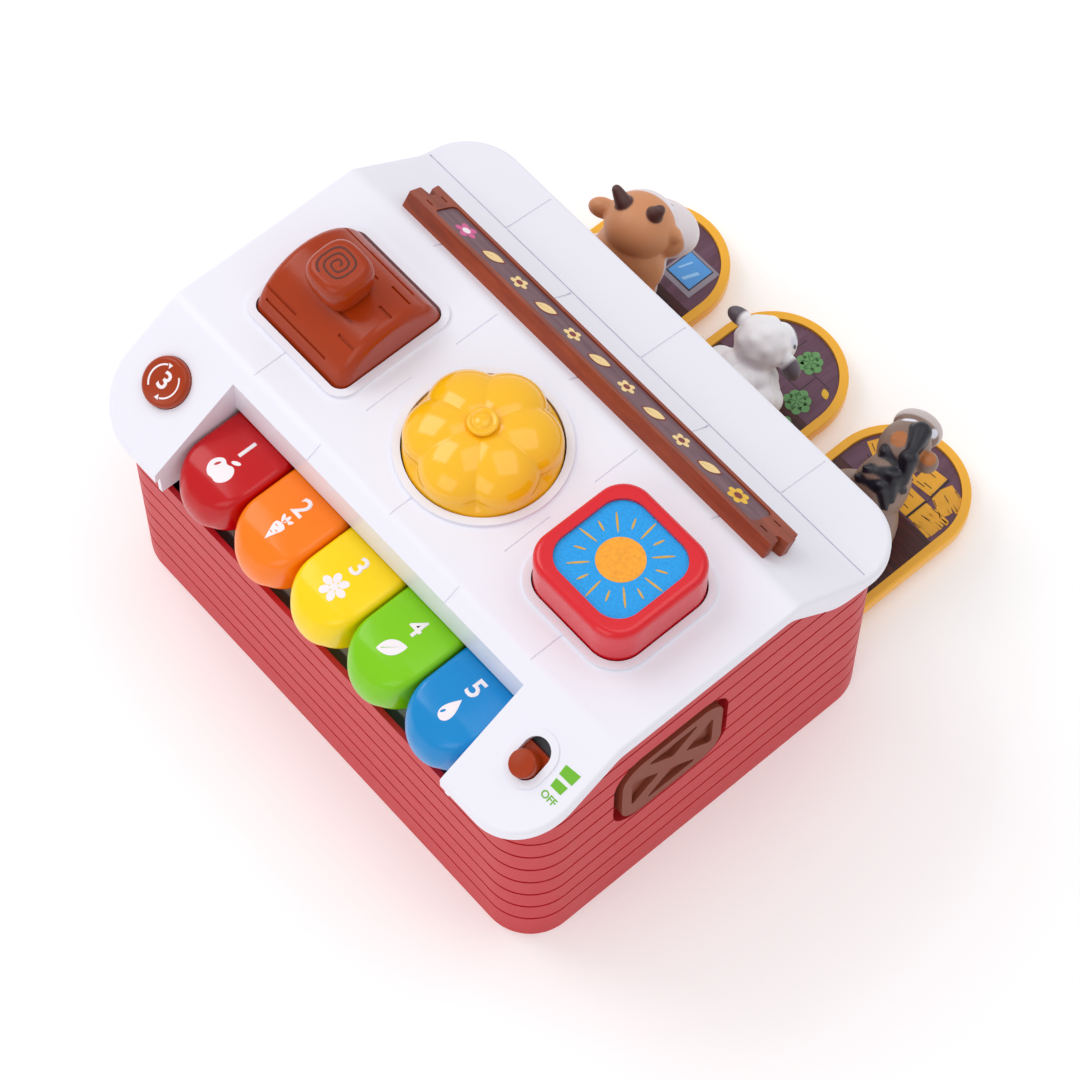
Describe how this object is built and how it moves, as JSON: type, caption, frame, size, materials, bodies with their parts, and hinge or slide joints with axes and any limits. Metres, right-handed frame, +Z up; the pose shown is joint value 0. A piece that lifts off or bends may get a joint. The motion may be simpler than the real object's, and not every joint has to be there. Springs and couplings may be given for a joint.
{
  "type": "pop up animal toy",
  "caption": "Barn-shaped baby activity toy: piano keys, rocking log, turning pumpkin, sun push button and fold-down animal doors at the back.",
  "frame": {"origin": "centre of the flat underside", "axes": "+X to the right seen from the keyboard side, +Y to the back wall with the animal doors, +Z up"},
  "size_m": [0.2906, 0.321, 0.1941],
  "materials": {
    "roof": "gloss",
    "walls": "satin",
    "underside": "satin",
    "inner": "satin",
    "key_red": "gloss",
    "key_orange": "gloss",
    "key_yellow": "gloss",
    "key_green": "gloss",
    "key_blue": "gloss",
    "log_brown": "gloss",
    "log_top": "gloss",
    "pumpkin": "gloss",
    "sun_red": "gloss",
    "sun_blue": "gloss",
    "sign": "satin",
    "sign_print": "satin",
    "door": "gloss",
    "door_print": "satin",
    "cow": "satin",
    "sheep": "satin",
    "horse": "satin",
    "stall": "satin",
    "steel": "satin",
    "contact": "satin",
    "cell": "gloss",
    "board": "gloss",
    "silicone": "satin",
    "cone": "satin",
    "lamp": "gloss"
  },
  "bodies": {
    "barn": {"barn_body": "walls", "base_plate": "underside", "base_screws": "steel", "batteries": "cell", "battery_contacts": "contact", "battery_door": "underside", "battery_door_screw": "steel", "board_screws": "steel", "door_pins": "steel", "key_axle": "steel", "key_chassis": "inner", "key_dome_strip": "silicone", "main_board": "board", "mode_switch": "inner", "pumpkin_guide": "inner", "roller_axle": "steel", "roller_bracket": "inner", "roof_cover": "roof", "roof_screws": "steel", "sign_label": "sign_print", "sign_rail": "sign", "speaker": "cone", "stall_left": "stall", "stall_middle": "stall", "stall_right": "stall", "sun_guide": "inner", "sun_lamp": "lamp", "sun_spring": "contact", "switch_body": "inner", "window_left": "log_brown", "window_right": "log_brown"},
    "key_1": {"key_1": "key_red"},
    "key_2": {"key_2": "key_orange"},
    "key_3": {"key_3": "key_yellow"},
    "key_4": {"key_4": "key_green"},
    "key_5": {"key_5": "key_blue"},
    "log": {"log_drum": "log_brown", "log_knob": "log_top", "log_knob_screw": "steel"},
    "pumpkin": {"pumpkin_cap": "pumpkin", "pumpkin_shaft": "inner"},
    "sun": {"sun_frame": "sun_red", "sun_lens": "sun_blue"},
    "mode": {"mode_button": "log_brown"},
    "switch": {"switch_knob": "log_brown"},
    "door_left": {"door_left": "door", "door_panel_left": "door_print", "cow_figure": "cow"},
    "door_middle": {"door_middle": "door", "door_panel_middle": "door_print", "sheep_figure": "sheep"},
    "door_right": {"door_right": "door", "door_panel_right": "door_print", "horse_figure": "horse"},
    "latch_left": {"latch_left": "inner"},
    "latch_middle": {"latch_middle": "inner"},
    "latch_right": {"latch_right": "inner"}
  },
  "joints": [
    {"name": "key_1_press", "type": "hinge", "parent": "barn", "child": "key_1", "pos_m": [-0.0758, -0.047, 0.113], "axis": [1, 0, 0], "range_deg": [0, 4], "stiffness_Nm_per_rad": 0.25, "springref_deg": -5.73},
    {"name": "key_2_press", "type": "hinge", "parent": "barn", "child": "key_2", "pos_m": [-0.0379, -0.047, 0.113], "axis": [1, 0, 0], "range_deg": [0, 4], "stiffness_Nm_per_rad": 0.25, "springref_deg": -5.73},
    {"name": "key_3_press", "type": "hinge", "parent": "barn", "child": "key_3", "pos_m": [0, -0.047, 0.113], "axis": [1, 0, 0], "range_deg": [0, 4], "stiffness_Nm_per_rad": 0.25, "springref_deg": -5.73},
    {"name": "key_4_press", "type": "hinge", "parent": "barn", "child": "key_4", "pos_m": [0.0379, -0.047, 0.113], "axis": [1, 0, 0], "range_deg": [0, 4], "stiffness_Nm_per_rad": 0.25, "springref_deg": -5.73},
    {"name": "key_5_press", "type": "hinge", "parent": "barn", "child": "key_5", "pos_m": [0.0758, -0.047, 0.113], "axis": [1, 0, 0], "range_deg": [0, 4], "stiffness_Nm_per_rad": 0.25, "springref_deg": -5.73},
    {"name": "log_rock", "type": "hinge", "parent": "barn", "child": "log", "pos_m": [-0.0885, -0.0078, 0.1446], "axis": [1, 0, 0], "range_deg": [-20, 20], "stiffness_Nm_per_rad": 0.15},
    {"name": "pumpkin_turn", "type": "hinge", "parent": "barn", "child": "pumpkin", "pos_m": [0.0008, -0.0078, 0.15], "axis": [0, 0, 1], "range_deg": [-30, 30], "stiffness_Nm_per_rad": 0.06},
    {"name": "sun_press", "type": "slide", "parent": "barn", "child": "sun", "axis": [0, 0, -1], "range_m": [0, 0.005], "stiffness_N_per_m": 400, "springref_m": -0.004, "deforming": ["sun_spring"]},
    {"name": "mode_press", "type": "slide", "parent": "barn", "child": "mode", "axis": [0, 0.5075, -0.8616], "range_m": [0, 0.0018], "stiffness_N_per_m": 300, "springref_m": -0.0012},
    {"name": "switch_slide", "type": "slide", "parent": "barn", "child": "switch", "axis": [0, 0.8616, 0.5075], "range_m": [0, 0.0066]},
    {"name": "door_left_hinge", "type": "hinge", "parent": "barn", "child": "door_left", "pos_m": [-0.083, 0.1035, 0.009], "axis": [1, 0, 0], "range_deg": [0, 90], "stiffness_Nm_per_rad": 0.05, "springref_deg": -17.19},
    {"name": "door_middle_hinge", "type": "hinge", "parent": "barn", "child": "door_middle", "pos_m": [0, 0.1035, 0.009], "axis": [1, 0, 0], "range_deg": [0, 90], "stiffness_Nm_per_rad": 0.05, "springref_deg": -17.19},
    {"name": "door_right_hinge", "type": "hinge", "parent": "barn", "child": "door_right", "pos_m": [0.083, 0.1035, 0.009], "axis": [1, 0, 0], "range_deg": [0, 90], "stiffness_Nm_per_rad": 0.05, "springref_deg": -17.19},
    {"name": "latch_left_slide", "type": "slide", "parent": "barn", "child": "latch_left", "axis": [0, 1, 0], "range_m": [-0.0031, 0.0031]},
    {"name": "latch_middle_slide", "type": "slide", "parent": "barn", "child": "latch_middle", "axis": [0, 1, 0], "range_m": [-0.0031, 0.0031]},
    {"name": "latch_right_slide", "type": "slide", "parent": "barn", "child": "latch_right", "axis": [0, 1, 0], "range_m": [-0.0031, 0.0031]}
  ],
  "couplings": [
    {"joint": "latch_left_slide", "follows": "log_rock", "m_per_rad": 0.0085944},
    {"joint": "latch_middle_slide", "follows": "pumpkin_turn", "m_per_rad": 0.0057296},
    {"joint": "latch_right_slide", "follows": "sun_press", "ratio": 0.6}
  ]
}
